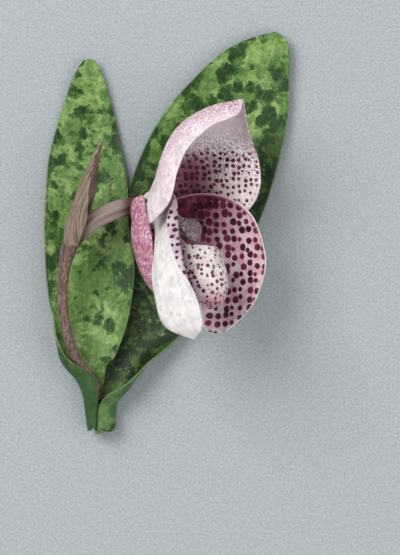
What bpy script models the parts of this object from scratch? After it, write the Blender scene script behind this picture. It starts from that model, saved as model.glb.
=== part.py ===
"""A spotted slipper orchid, picked and lying on its back: two leaves, a scape and one cupped flower.

Lengths are in millimetres here and become metres when a mesh is made. +X is the flower's side,
+Y points from the cut base to the leaf tips, +Z is up from the surface the plant lies on.
"""
import math

import bmesh
import bpy
import numpy as np

MM = 0.001
COLLECTION = "slipper_orchid"
GUIDES = "slipper_orchid_guides"

# Thicknesses
LEAF_KEEL_THICKNESS = 1.15
LEAF_MARGIN_THICKNESS = 0.8
TEPAL_THICKNESS = 0.8
BRACT_THICKNESS = 0.7
POUCH_WALL = 0.9

# The flower: where its tepals meet, and the way it faces (forward, up, towards the near side)
FLOWER_CENTRE = np.array([-6.2, 7.4, 12.5])
FLOWER_TILT = math.radians(48)
FLOWER_DIP = -0.10
FLOWER_ROLL = math.radians(5)

# Leaves: (share of the length, x, y, z) of the keel from the cut sheath to the tip
LEFT_KEEL = [
    (0.0, -21.6, -55.6, 4.0), (0.07, -22.6, -48.2, 4.1), (0.118, -23.1, -43.3, 4.3), (0.15, -23.9, -40.0, 4.2),
    (0.188, -24.9, -36.0, 3.9), (0.22, -24.2, -32.7, 3.5), (0.274, -22.5, -27.0, 3.2), (0.436, -21.6, -10.0, 2.6),
    (0.608, -21.5, 8.0, 1.8), (0.761, -21.5, 24.0, 0.4), (0.895, -21.8, 38.0, 1.4), (1.0, -21.7, 48.9, 3.2),
]
LEFT_FACE = [(0, 1, 0, 0), (0.07, 1, 0, 0.1), (0.095, 0.95, 0, 0.3), (0.118, 0.72, 0, 0.69),
             (0.15, 0.4, 0, 0.92), (0.188, 0.2, 0, 0.98), (0.22, 0.1, 0, 1), (0.45, 0, 0, 1),
             (0.7, -0.04, 0, 1), (1, 0.05, 0, 1)]
LEFT_HALF_WIDTHS = {
    "left": [(0, 3.1), (0.07, 4.8), (0.095, 6.6), (0.118, 7.8), (0.15, 9.0), (0.188, 10.0), (0.22, 10.4),
             (0.25, 10.1), (0.29, 10.4), (0.345, 11.5), (0.41, 12.4), (0.48, 12.8), (0.55, 13.0),
             (0.61, 12.8), (0.66, 12.4), (0.745, 11.4), (0.81, 9.6), (0.895, 6.5), (0.955, 4.2),
             (0.985, 2.2), (1, 0)],
    "right": [(0, 3.8), (0.09, 4.6), (0.14, 6.7), (0.195, 9.6), (0.27, 10.9), (0.36, 12.4), (0.434, 13.0),
              (0.5, 12.1), (0.566, 11.0), (0.657, 10.7), (0.721, 9.6), (0.777, 8.4), (0.838, 7.2),
              (0.895, 5.8), (0.955, 3.7), (0.985, 2.0), (1, 0)],
}
# Curl of each half: (share, total turn in degrees, how late across the half the turn comes)
LEFT_CURL = {
    "left": [(0, 88, 0.75), (0.07, 92, 0.75), (0.095, 110, 0.9), (0.118, 150, 0.8), (0.15, 185, 0.9),
             (0.188, 145, 1.4), (0.22, 100, 1.5), (0.25, 60, 1.3), (0.29, 34, 1.0), (0.4, 20, 0.75),
             (0.6, 16, 0.75), (0.85, 9, 0.75), (1, 3, 0.75)],
    "right": [(0, 88, 0.75), (0.09, 82, 0.75), (0.15, 54, 0.75), (0.25, 36, 0.75), (0.4, 26, 0.75),
              (0.6, 20, 0.75), (0.85, 10, 0.75), (1, 3, 0.75)],
}
# The torn cut at the base: (place across the leaf, share of the length missing there)
LEFT_CUT = [(-1, 0.0), (-0.5, 0.012), (-0.1, 0.004), (0.4, 0.014), (1, 0.0)]
RIGHT_KEEL = [
    (0.0, -14.5, -55.8, 4.0), (0.06, -14.6, -48.6, 3.8), (0.08, -14.1, -46.2, 3.2), (0.103, -13.3, -43.5, 2.8),
    (0.125, -12.4, -41.0, 2.8), (0.215, -8.3, -31.0, 1.9), (0.353, -1.1, -15.8, 0.9), (0.518, 5.9, 3.2, 0.8),
    (0.667, 12.5, 20.2, 0.5), (0.801, 19.5, 35.1, 1.1), (0.913, 25.8, 47.2, 2.2), (1.0, 31.9, 55.8, 3.6),
]
RIGHT_FACE = [(0, -1, 0, 0), (0.06, -1, 0, 0.12), (0.08, -0.85, 0, 0.5), (0.103, -0.6, 0.05, 0.8),
              (0.14, -0.35, 0.05, 0.93), (0.18, -0.22, 0, 0.97), (0.3, 0, 0, 1), (0.7, 0.02, 0, 1), (1, 0, 0, 1)]
RIGHT_HALF_WIDTHS = {
    "left": [(0, 6.4), (0.064, 6.3), (0.123, 6.9), (0.213, 9.8), (0.355, 15.0), (0.52, 18.7), (0.669, 18.7),
             (0.804, 15.2), (0.915, 9.3), (0.965, 4.9), (0.988, 2.3), (1, 0)],
    "right": [(0, 6.4), (0.06, 6.1), (0.08, 7.2), (0.103, 7.5), (0.14, 7.6), (0.178, 7.7), (0.235, 9.4),
              (0.28, 10.6), (0.355, 13.0), (0.43, 15.3), (0.52, 18.0), (0.669, 18.4), (0.804, 15.2),
              (0.915, 9.8), (0.965, 6.2), (0.988, 3.5), (1, 0)],
}
RIGHT_CURL = {
    "left": [(0, 95, 0.75), (0.06, 88, 0.75), (0.13, 36, 0.75), (0.22, 10, 0.75), (0.4, 0, 0.75),
             (0.52, 2, 0.75), (0.65, 9, 0.75), (0.85, 11, 0.75), (1, 3, 0.75)],
    "right": [(0, 100, 0.75), (0.06, 94, 0.75), (0.08, 100, 1.0), (0.103, 110, 1.2), (0.14, 90, 1.0),
              (0.178, 72, 1.0), (0.235, 44, 0.9), (0.355, 24, 0.75), (0.55, 14, 0.75), (0.85, 12, 0.75),
              (1, 3, 0.75)],
}

RIGHT_CUT = [(-1, 0.012), (-0.4, 0.004), (0.0, 0.022), (0.35, 0.018), (0.6, 0.006), (0.8, 0.012), (1, 0.0)]

# The bract, a folded boat round the foot of the ovary
BRACT_KEEL = [(0.0, -28.4, -3.2, 14.9), (0.12, -28.2, 0.4, 15.5), (0.3, -26.9, 5.2, 16.2),
              (0.52, -24.6, 11.6, 17.1), (0.76, -21.4, 18.9, 18.0), (1.0, -17.8, 26.3, 18.8)]
BRACT_FACE = [(0, 0.95, -0.25, 0), (0.3, 0.95, -0.3, 0), (0.6, 0.93, -0.3, 0.2), (1, 0.9, -0.4, 0.3)]
BRACT_HALF_WIDTHS = {
    "left": [(0, 4.9), (0.15, 6.6), (0.35, 7.6), (0.5, 6.9), (0.7, 4.6), (0.88, 1.9), (1, 0.1)],
    "right": [(0, 4.9), (0.15, 6.6), (0.35, 7.6), (0.5, 6.9), (0.7, 4.6), (0.88, 1.9), (1, 0.1)],
}
BRACT_CURL = {
    "left": [(0, 105, 0.75), (0.3, 80, 0.75), (0.6, 66, 0.75), (1, 40, 0.75)],
    "right": [(0, 105, 0.75), (0.3, 80, 0.75), (0.6, 66, 0.75), (1, 40, 0.75)],
}

# Tepals: (share of the length, forward, up, towards the near side) of the midrib and both margins
DORSAL = {
    "mid": [(0.0, 0.4, 2.5, 0), (0.12, 4.0, 6.3, 0), (0.27, 6.8, 12.5, 0), (0.43, 10.4, 18.8, 0),
            (0.6, 15.4, 24.8, 0), (0.81, 23.2, 30.0, 0), (1.0, 31.2, 32.9, 0)],
    "left": [(0.0, 0.4, 2.0, 2.2), (0.05, 5.0, 2.0, 4.4), (0.1, 10.6, -1.0, 6.2), (0.15, 12.9, -4.5, 11.0),
             (0.21, 19.4, -0.4, 13.6), (0.33, 22.7, 5.6, 14.2), (0.45, 22.1, 11.0, 13.0),
             (0.57, 24.0, 16.3, 12.8), (0.68, 27.2, 20.9, 12.2), (0.8, 30.1, 24.4, 10.2),
             (0.91, 32.5, 27.3, 5.8), (0.97, 32.8, 29.6, 2.4), (1.0, 31.2, 32.9, 0)],
    "right": [(0.0, 0.4, 2.0, -2.2), (0.1, 6.5, 1.8, -9.0), (0.2, 13.5, 1.2, -13.3), (0.3, 21.1, 0.9, -14.8),
              (0.45, 27.5, 4.8, -14.0), (0.57, 30.0, 10.1, -13.2), (0.7, 29.1, 16.4, -12.0),
              (0.82, 28.2, 21.7, -9.4), (0.92, 28.9, 27.1, -5.0), (1.0, 31.2, 32.9, 0)],
    "turn": [(0, 70), (1, 70)],
}
PETAL_FAR = {
    "mid": [(0.0, 0.6, -0.5, -2.1), (0.19, 7.0, -3.5, -6.2), (0.4, 11.8, -8.5, -11.6),
            (0.58, 15.0, -14.5, -15.5), (0.8, 21.5, -20.5, -17.0), (1.0, 27.6, -26.6, -16.0)],
    "left": [(0.0, 0.6, 0.5, -2.0), (0.12, 8.0, 3.4, -4.0), (0.25, 13.2, 5.6, -7.0), (0.4, 21.2, 5.5, -9.5),
             (0.55, 27.9, 2.4, -12.0), (0.67, 31.2, -3.5, -14.5), (0.78, 32.5, -10.0, -16.5),
             (0.88, 31.3, -17.1, -17.5), (0.96, 29.5, -23.2, -17.0), (1.0, 27.6, -26.6, -16.0)],
    "right": [(0.0, 0.6, -1.2, -2.0), (0.15, 7.5, -5.5, -4.2), (0.3, 13.0, -10.0, -6.6),
              (0.5, 15.5, -18.0, -7.8), (0.68, 18.5, -26.0, -8.5), (0.83, 18.9, -32.1, -12.0),
              (0.94, 23.7, -30.8, -14.8), (1.0, 27.6, -26.6, -16.0)],
    "turn": [(0, 60), (1, 60)],
}
PETAL_NEAR = {
    "mid": [(0.0, 0.6, -0.5, 2.1), (0.16, 8.6, -3.3, 3.6), (0.37, 15.5, -9.0, 9.2), (0.54, 19.0, -16.5, 12.6),
            (0.69, 22.5, -24.0, 13.0), (0.84, 25.5, -31.0, 11.5), (1.0, 32.2, -34.5, 8.0)],
    "left": [(0.0, 0.6, -1.2, 2.0), (0.15, 8.4, -4.6, 3.2), (0.25, 12.4, -8.0, 6.0), (0.35, 14.8, -12.0, 7.8),
             (0.6, 18.0, -21.0, 8.8), (0.85, 24.0, -30.0, 9.0), (1.0, 32.2, -34.5, 8.0)],
    "right": [(0.0, 0.6, 0.5, 2.0), (0.1, 8.5, 2.8, 3.4), (0.22, 17.5, 4.9, 6.6), (0.38, 24.0, 0.1, 10.4),
              (0.52, 29.7, -7.0, 13.6), (0.66, 33.4, -14.3, 14.2), (0.78, 35.9, -20.5, 13.6),
              (0.88, 37.4, -26.4, 12.0), (0.95, 36.5, -31.4, 10.0), (1.0, 32.2, -34.5, 8.0)],
    "turn": [(0, 60), (1, 75)],
    "roll": [(0, 0), (0.2, 1.0), (0.33, 3.0), (0.42, 4.8), (0.6, 4.8), (0.8, 1.5), (1, 0)],
}
SYNSEPAL = {
    "mid": [(0.0, 0.2, -2.5, 0), (0.18, -1.2, -7.0, 0), (0.41, 0.0, -13.0, 0), (0.7, 4.2, -19.5, 0),
            (1.0, 10.5, -24.5, 0)],
    "left": [(0.0, 0.1, -2.3, -2.0), (0.1, 0.4, -0.2, -5.8), (0.22, 2.5, -1.5, -7.0), (0.36, 4.6, -4.0, -7.6),
             (0.5, 5.8, -8.0, -7.8), (0.65, 7.0, -13.5, -7.8), (0.8, 8.8, -19.0, -6.4),
             (0.92, 10.0, -23.0, -3.4), (1.0, 10.5, -24.5, 0)],
    "right": [(0.0, 0.1, -2.3, 2.0), (0.1, 1.0, 0.9, 6.2), (0.2, 4.4, 3.0, 6.8), (0.29, 6.0, 2.2, 7.1),
              (0.38, 6.9, 0.2, 7.4), (0.5, 9.3, -5.0, 7.1), (0.65, 11.6, -12.0, 6.8),
              (0.8, 12.2, -18.0, 6.2), (0.92, 11.5, -22.5, 3.4), (1.0, 10.5, -24.5, 0)],
    "turn": [(0, 70), (0.25, 100), (0.6, 105), (1, 80)],
}
# The near petal's front margin rolls back this way (world axes), from this share of its half width
ROLL_WAY = np.array([-1.0, 0.0, 0.03])
ROLL_FROM = 0.72

# The pouch of the lip, in flower axes: an egg whose mouth faces back up to the column
POUCH_CENTRE = (24.4, -14.7, 0.0)
POUCH_TOE_WAY = (8.5, -12.5, 0.0)
POUCH_HALF_LENGTH = 12.3
POUCH_HALF_WIDTH = 6.8
POUCH_HALF_DEPTH = 5.9
POUCH_RIM_ANGLE = 124
POUCH_RIM_SLANT = 16
CLAW = {
    "mid": [(0.0, 1.5, -2.1, 0), (0.5, 8.2, -5.9, 0), (1.0, 16.6, -11.1, 0)],
    "left": [(0.0, 1.5, -2.1, 0.9), (0.5, 8.3, -5.8, 1.6), (1.0, 16.6, -10.9, 3.2)],
    "right": [(0.0, 1.5, -2.1, -0.9), (0.5, 8.3, -5.8, -1.6), (1.0, 16.6, -10.9, -3.2)],
    "turn": [(0, 30), (1, 30)],
}

# Stems: (x, y, z, radius) from the foot up
SCAPE = [(-19.0, -46.9, 4.2, 1.1), (-19.6, -43.8, 5.2, 1.2), (-21.6, -39.7, 6.6, 1.2), (-24.7, -36.0, 7.8, 1.2),
         (-27.2, -29.5, 10.4, 1.2), (-28.9, -21.4, 12.0, 1.2), (-28.8, -13.0, 13.2, 1.25),
         (-27.9, -8.0, 14.2, 1.3), (-26.6, -4.3, 14.8, 1.3)]
OVARY = [(-26.4, -3.7, 14.9, 1.15), (-24.6, -0.8, 15.5, 1.5), (-22.1, 2.0, 15.8, 1.85), (-19.3, 4.1, 15.6, 2.1),
         (-16.0, 5.7, 14.8, 2.2), (-12.6, 6.9, 13.2, 2.2), (-9.2, 7.6, 11.4, 2.1)]
OVARY_END = [(-1.7, 2.0), (-0.4, 1.9)]
OVARY_RIBS = 6
OVARY_RIB_DEPTH = 0.09
SHOOT = [(-19.1, -56.0, 4.05, 1.1), (-19.1, -50.0, 4.05, 1.15), (-19.0, -47.65, 4.1, 1.1)]

# The column, its stigma and its two anthers, in flower axes
COLUMN = [(0.3, 0.0, 0.0, 1.2), (4.0, -0.4, 0.0, 1.4), (8.0, -1.3, 0.0, 1.7), (12.0, -2.6, 0.0, 1.8),
          (15.2, -4.2, 0.0, 1.2)]
ANTHER_AT = (11.5, -2.8, 1.9)
ANTHER_RADIUS = 1.2
STIGMA_AT = (14.6, -5.6, 0.0)
STIGMA_RADIUS = 1.9
STAMINODE_AT = (18.3, -4.5, 0.0)
STAMINODE_HALF_WIDTH = 4.6
STAMINODE_HALF_LENGTH = 4.3
STAMINODE_HALF_THICKNESS = 1.0
STAMINODE_LOBE_DEPTH = 0.13

LEAF_GREEN = (0.13, 0.26, 0.06)
SHOOT_GREEN = (0.30, 0.36, 0.16)
SCAPE_BROWN = (0.17, 0.09, 0.06)
BRACT_BROWN = (0.24, 0.17, 0.12)
OVARY_BROWN = (0.34, 0.26, 0.20)
SEPAL_PINK = (0.66, 0.44, 0.46)
PETAL_PINK = (0.62, 0.30, 0.36)
POUCH_CREAM = (0.78, 0.70, 0.62)
COLUMN_PINK = (0.55, 0.42, 0.42)
STAMINODE_GREY = (0.42, 0.38, 0.38)


def unit(v):
    """Vectors at length one."""
    return v / np.linalg.norm(v, axis=-1, keepdims=True)


def flower_axes():
    """Forward, up and near-side unit vectors of the flower."""
    forward = unit(np.array([math.sin(FLOWER_TILT), FLOWER_DIP, math.cos(FLOWER_TILT)]))
    up = np.array([0.0, 1.0, 0.0])
    up = unit(up - (up @ forward) * forward)
    near = np.cross(forward, up)
    c, s = math.cos(FLOWER_ROLL), math.sin(FLOWER_ROLL)
    return forward, c * up - s * near, c * near + s * up


FORWARD, UP, NEAR = flower_axes()
FLOWER_MATRIX = np.array([FORWARD, UP, NEAR])


def in_flower(points):
    """Flower coordinates to the plant's frame."""
    return FLOWER_CENTRE + np.asarray(points, float) @ FLOWER_MATRIX


def through(stations, t):
    """A smooth curve through (share, value, ...) stations, read at the shares t."""
    table = np.array(stations, float)
    at, value = table[:, 0], table[:, 1:]
    step = np.diff(at)
    slope = np.diff(value, axis=0) / step[:, None]
    tangent = np.empty_like(value)
    tangent[0], tangent[-1] = slope[0], slope[-1]
    tangent[1:-1] = (slope[:-1] * step[1:, None] + slope[1:] * step[:-1, None]) / (step[:-1] + step[1:])[:, None]
    i = np.clip(np.searchsorted(at, t, side="right") - 1, 0, len(step) - 1)
    x = ((t - at[i]) / step[i])[..., None]
    h = step[i][..., None]
    return ((2 * x**3 - 3 * x**2 + 1) * value[i] + (x**3 - 2 * x**2 + x) * h * tangent[i]
            + (3 * x**2 - 2 * x**3) * value[i + 1] + (x**3 - x**2) * h * tangent[i + 1])


def blade_surface(keel, face, half_widths, curl, t, v):
    """Middle surface of a leaf: t runs from the base to the tip, v from -1 (left) to 1 (right)."""
    small = 1e-3
    centre = through(keel, t)
    along = unit(through(keel, np.minimum(t + small, 1)) - through(keel, np.maximum(t - small, 0)))
    normal = through(face, t)
    normal = unit(normal - (normal * along).sum(-1, keepdims=True) * along)
    across = np.cross(along, normal)
    q = np.abs(v)
    left = v < 0
    width = np.where(left, through(half_widths["left"], t)[..., 0], through(half_widths["right"], t)[..., 0])
    turn, late = np.moveaxis(np.where(left[..., None], through(curl["left"], t), through(curl["right"], t)), -1, 0)
    out = np.zeros_like(q)
    rise = np.zeros_like(q)
    steps = 12
    for k in range(steps):
        angle = np.radians(turn) * ((k + 0.5) / steps * q) ** late
        out += np.cos(angle) * q * width / steps
        rise += np.sin(angle) * q * width / steps
    return centre + (np.where(left, -1, 1) * out)[..., None] * across + rise[..., None] * normal


def tepal_surface(sheet, t, v):
    """Middle surface of a tepal, bowed between its two margins and its midrib."""
    mid = in_flower(through(sheet["mid"], t))
    left = in_flower(through(sheet["left"], t))
    right = in_flower(through(sheet["right"], t))
    turn = np.radians(through(sheet["turn"], t))
    v = v[..., None]
    surface = mid + np.sin(v * turn) / np.sin(turn) * (right - left) / 2
    surface = surface + (1 - np.cos(v * turn)) / (1 - np.cos(turn)) * ((right + left) / 2 - mid)
    if "roll" in sheet:
        rolled = np.clip((v - ROLL_FROM) / (1 - ROLL_FROM), 0, 1) ** 2
        surface = surface + rolled * through(sheet["roll"], t) * ROLL_WAY
    return surface


def new_material(name, colour, roughness):
    """A plain plant-tissue material."""
    material = bpy.data.materials.new(name)
    material.use_nodes = True
    shader = material.node_tree.nodes["Principled BSDF"]
    shader.inputs["Base Color"].default_value = (*colour, 1)
    shader.inputs["Roughness"].default_value = roughness
    shader.inputs["Metallic"].default_value = 0.0
    return material


def add_object(name, mesh, colour, roughness, collection):
    """Link a mesh as a named, smooth shaded object with its material."""
    mesh.materials.clear()
    mesh.materials.append(new_material(name, colour, roughness))
    mesh.shade_smooth()
    mesh.set_sharp_from_angle(angle=math.radians(50))
    obj = bpy.data.objects.new(name, mesh)
    collection.objects.link(obj)
    return obj


def sheet_object(name, surface, rows, columns, thickness, margin_share, colour, collection):
    """A grid laid on a surface and thickened on both sides, thinner towards its margins."""
    bm = bmesh.new()
    bmesh.ops.create_grid(bm, x_segments=columns, y_segments=rows, size=1)
    flat = np.array([v.co[:2] for v in bm.verts])
    across = flat[:, 0]
    share = (flat[:, 1] + 1) / 2
    # Rows crowd towards the tip, where the outline turns fastest
    share = 0.998 * (1 - (1 - share) ** 1.5)
    points = surface(share, across) * MM
    weight = bm.verts.layers.deform.new()
    for vert, point, v in zip(bm.verts, points, across):
        vert.co = point
        vert[weight][0] = 1 - abs(v) ** 1.5
    bmesh.ops.remove_doubles(bm, verts=bm.verts, dist=0.00006)
    bmesh.ops.triangulate(bm, faces=bm.faces, quad_method="SHORT_EDGE")
    mesh = bpy.data.meshes.new(name)
    bm.to_mesh(mesh)
    bm.free()
    obj = add_object(name, mesh, colour, 0.5, collection)
    obj.vertex_groups.new(name="keel")
    solidify = obj.modifiers.new("thickness", "SOLIDIFY")
    solidify.thickness = thickness * MM
    solidify.offset = 0
    solidify.use_even_offset = False
    solidify.vertex_group = "keel"
    solidify.thickness_vertex_group = margin_share
    return obj


def applied_mesh(obj):
    """The evaluated mesh of an object as a new mesh."""
    bpy.context.view_layer.update()
    depsgraph = bpy.context.evaluated_depsgraph_get()
    return bpy.data.meshes.new_from_object(obj.evaluated_get(depsgraph))


def tidy_mesh(mesh):
    """Weld points that fall together and drop faces left without area."""
    bm = bmesh.new()
    bm.from_mesh(mesh)
    bmesh.ops.triangulate(bm, faces=bm.faces)
    bmesh.ops.remove_doubles(bm, verts=bm.verts, dist=0.00003)
    bmesh.ops.dissolve_degenerate(bm, edges=bm.edges, dist=0.00002)
    bmesh.ops.triangulate(bm, faces=bm.faces)
    bmesh.ops.recalc_face_normals(bm, faces=bm.faces)
    bm.to_mesh(mesh)
    bm.free()


def rest_on_surface(obj):
    """Press the lowest skin of a thickened leaf flat where it touches the surface below."""
    mesh = applied_mesh(obj)
    obj.modifiers.clear()
    obj.data = mesh
    for vert in mesh.vertices:
        vert.co.z = max(vert.co.z, 0.0)
    mesh.shade_smooth()
    mesh.set_sharp_from_angle(angle=math.radians(50))


def stem_points(stations, count):
    """Evenly spread points and radii along a stem."""
    table = np.array(stations, float)
    gaps = np.linalg.norm(np.diff(table[:, :3], axis=0), axis=1)
    share = np.concatenate([[0], np.cumsum(gaps)]) / gaps.sum()
    read = np.linspace(0, 1, count)
    return through(np.column_stack([share, table]), read)


def stem_curve(name, points, bevel_resolution, profile=None):
    """A filled tube along (x, y, z, radius) points, in millimetres."""
    curve = bpy.data.curves.new(name, "CURVE")
    curve.dimensions = "3D"
    curve.use_fill_caps = True
    if profile is None:
        curve.bevel_depth = MM
        curve.bevel_resolution = bevel_resolution
    else:
        curve.bevel_mode = "OBJECT"
        curve.bevel_object = profile
    spline = curve.splines.new("POLY")
    spline.points.add(len(points) - 1)
    for point, (x, y, z, radius) in zip(spline.points, points):
        point.co = (x * MM, y * MM, z * MM, 1)
        point.radius = radius
    return curve


def stem_object(name, points, colour, collection, bevel_resolution=2, profile=None):
    """A stem as one closed mesh: its tube with the caps welded on."""
    curve = stem_curve(name + "_path", points, bevel_resolution, profile)
    path = bpy.data.objects.new(name + "_path", curve)
    collection.objects.link(path)
    mesh = applied_mesh(path)
    bpy.data.objects.remove(path)
    mesh.name = name
    bm = bmesh.new()
    bm.from_mesh(mesh)
    bmesh.ops.remove_doubles(bm, verts=bm.verts, dist=0.00001)
    bmesh.ops.recalc_face_normals(bm, faces=bm.faces)
    bm.to_mesh(mesh)
    bm.free()
    return add_object(name, mesh, colour, 0.6, collection)


def ribbed_profile(guides):
    """Cross section of the ovary, of radius one: a ring with ribs."""
    curve = bpy.data.curves.new("ovary_section", "CURVE")
    curve.dimensions = "2D"
    spline = curve.splines.new("POLY")
    count = OVARY_RIBS * 4
    spline.points.add(count - 1)
    spline.use_cyclic_u = True
    for k, point in enumerate(spline.points):
        angle = 2 * math.pi * k / count
        radius = (1 + OVARY_RIB_DEPTH * math.cos(OVARY_RIBS * angle)) * MM
        point.co = (radius * math.cos(angle), radius * math.sin(angle), 0, 1)
    guide = bpy.data.objects.new("ovary_section", curve)
    guide.hide_render = True
    guide.display_type = "WIRE"
    guides.objects.link(guide)
    return guide


def pouch_mesh():
    """The open egg of the lip, before it is thickened."""
    toe = unit(np.array(POUCH_TOE_WAY, float))
    front = np.array([-toe[1], toe[0], 0.0])
    side = np.array([0.0, 0.0, 1.0])
    bm = bmesh.new()
    bmesh.ops.create_uvsphere(bm, u_segments=24, v_segments=20, radius=1)
    cut = math.radians(140)
    above = [v for v in bm.verts if math.acos(max(-1, min(1, -v.co.z))) > cut]
    bmesh.ops.delete(bm, geom=above, context="VERTS")
    widest = max(math.acos(max(-1, min(1, -v.co.z))) for v in bm.verts)
    for vert in bm.verts:
        around = math.atan2(vert.co.y, vert.co.x)
        down = math.acos(max(-1, min(1, -vert.co.z))) / widest
        angle = down * math.radians(POUCH_RIM_ANGLE - POUCH_RIM_SLANT * math.sin(around))
        point = np.array(POUCH_CENTRE) + POUCH_HALF_LENGTH * math.cos(angle) * toe
        point = point + POUCH_HALF_WIDTH * math.sin(angle) * math.cos(around) * side
        point = point + POUCH_HALF_DEPTH * math.sin(angle) * math.sin(around) * front
        vert.co = in_flower(point) * MM
    bmesh.ops.recalc_face_normals(bm, faces=bm.faces)
    mesh = bpy.data.meshes.new("lip")
    bm.to_mesh(mesh)
    bm.free()
    return mesh


def flower_ball(name, at, sizes, collection, segments=14, lobes=0.0, turn=None):
    """A ball squashed along the flower's axes, with an optional three-lobed outline."""
    bm = bmesh.new()
    bmesh.ops.create_uvsphere(bm, u_segments=segments, v_segments=segments // 2, radius=1)
    turn = turn if turn is not None else np.eye(3)
    for vert in bm.verts:
        around = math.atan2(vert.co.y, vert.co.x)
        reach = 1 + lobes * math.cos(3 * around - math.pi / 2)
        local = np.array([vert.co.x * reach * sizes[0], vert.co.y * reach * sizes[1], vert.co.z * sizes[2]])
        vert.co = in_flower(np.array(at) + local @ turn) * MM
    bmesh.ops.recalc_face_normals(bm, faces=bm.faces)
    mesh = bpy.data.meshes.new(name)
    bm.to_mesh(mesh)
    bm.free()
    obj = bpy.data.objects.new(name, mesh)
    collection.objects.link(obj)
    return obj


def unite(obj, others):
    """Join other closed objects into this one, then remove them."""
    for other in others:
        union = obj.modifiers.new("join", "BOOLEAN")
        union.operation = "UNION"
        union.solver = "EXACT"
        union.object = other
    mesh = applied_mesh(obj)
    obj.modifiers.clear()
    obj.data = mesh
    for other in others:
        bpy.data.objects.remove(other)
    tidy_mesh(mesh)
    mesh.shade_smooth()
    mesh.set_sharp_from_angle(angle=math.radians(50))


def add_leaves(collection):
    """The inner left leaf and the outer right leaf, clasping each other at the base."""
    margin_share = LEAF_MARGIN_THICKNESS / LEAF_KEEL_THICKNESS
    leaves = (("leaf_left", LEFT_KEEL, LEFT_FACE, LEFT_HALF_WIDTHS, LEFT_CURL, LEFT_CUT),
              ("leaf_right", RIGHT_KEEL, RIGHT_FACE, RIGHT_HALF_WIDTHS, RIGHT_CURL, RIGHT_CUT))
    for name, keel, face, widths, curl, cut in leaves:
        def surface(t, v, keel=keel, face=face, widths=widths, curl=curl, cut=cut):
            start = through(cut, v)[..., 0]
            return blade_surface(keel, face, widths, curl, start + (1 - start) * t, v)
        leaf = sheet_object(name, surface, 28, 12, LEAF_KEEL_THICKNESS, margin_share, LEAF_GREEN, collection)
        rest_on_surface(leaf)


def add_stem(collection, guides):
    """The shoot between the sheaths, the scape, the bract and the ribbed ovary."""
    stem_object("shoot_base", stem_points(SHOOT, 8), SHOOT_GREEN, collection)
    stem_object("scape", stem_points(SCAPE, 30), SCAPE_BROWN, collection)
    end = [(*in_flower((forward, 0, 0)), radius) for forward, radius in OVARY_END]
    stem_object("ovary", stem_points(OVARY + end, 22), OVARY_BROWN, collection, profile=ribbed_profile(guides))

    def surface(t, v):
        return blade_surface(BRACT_KEEL, BRACT_FACE, BRACT_HALF_WIDTHS, BRACT_CURL, t, v)
    sheet_object("bract", surface, 14, 10, BRACT_THICKNESS, 1.0, BRACT_BROWN, collection)


def add_tepals(collection):
    """The dorsal sepal, the two lower sepals grown into one, and the two petals."""
    tepals = (("dorsal_sepal", DORSAL, SEPAL_PINK), ("synsepal", SYNSEPAL, SEPAL_PINK),
              ("petal_near", PETAL_NEAR, PETAL_PINK), ("petal_far", PETAL_FAR, PETAL_PINK))
    for name, sheet, colour in tepals:
        def surface(t, v, sheet=sheet):
            return tepal_surface(sheet, t, v)
        sheet_object(name, surface, 20, 12, TEPAL_THICKNESS, 1.0, colour, collection)


def add_lip(collection):
    """The pouch with the claw that ties it to the foot of the column."""
    lip = add_object("lip", pouch_mesh(), POUCH_CREAM, 0.45, collection)
    wall = lip.modifiers.new("wall", "SOLIDIFY")
    wall.thickness = POUCH_WALL * MM
    wall.offset = -1
    wall.use_even_offset = True

    def surface(t, v):
        return tepal_surface(CLAW, t, v)
    claw = sheet_object("claw", surface, 6, 4, TEPAL_THICKNESS, 1.0, POUCH_CREAM, collection)
    unite(lip, [claw])


def add_column(collection):
    """The column with its stigma and anthers, and the lobed staminode at its end."""
    rail = [(*in_flower(station[:3]), station[3]) for station in COLUMN]
    column = stem_object("column", stem_points(rail, 10), COLUMN_PINK, collection)
    f, u, s = ANTHER_AT
    balls = [flower_ball("anther_near", (f, u, s), (ANTHER_RADIUS,) * 3, collection),
             flower_ball("anther_far", (f, u, -s), (ANTHER_RADIUS,) * 3, collection),
             flower_ball("stigma", STIGMA_AT, (STIGMA_RADIUS, 1.0, STIGMA_RADIUS), collection)]
    unite(column, balls)
    # The staminode lies across the flower and slopes down towards the pouch
    across = np.array([0.0, 0.0, 1.0])
    down = unit(np.array([0.6, -0.8, 0.0]))
    turn = np.array([across, down, np.cross(across, down)])
    sizes = (STAMINODE_HALF_WIDTH, STAMINODE_HALF_LENGTH, STAMINODE_HALF_THICKNESS)
    staminode = flower_ball("staminode", STAMINODE_AT, sizes, collection, 24, STAMINODE_LOBE_DEPTH, turn)
    staminode.data.materials.append(new_material("staminode", STAMINODE_GREY, 0.6))
    staminode.data.shade_smooth()


def main():
    """Build the plant in an empty scene."""
    for obj in list(bpy.data.objects):
        bpy.data.objects.remove(obj)
    collection = bpy.data.collections.new(COLLECTION)
    guides = bpy.data.collections.new(GUIDES)
    bpy.context.scene.collection.children.link(collection)
    bpy.context.scene.collection.children.link(guides)
    add_leaves(collection)
    add_stem(collection, guides)
    add_tepals(collection)
    add_lip(collection)
    add_column(collection)


main()
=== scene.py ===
"""Looks of the slipper orchid: fine leaves, tepals and pouch with their spots, veins and hairs.

Lengths are in millimetres in the tables and become metres when a mesh is made. Shares run from a
piece's base (0) to its tip (1); places across run from its left margin (-1) to its right margin (1).
"""

import functools
import math

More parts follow.
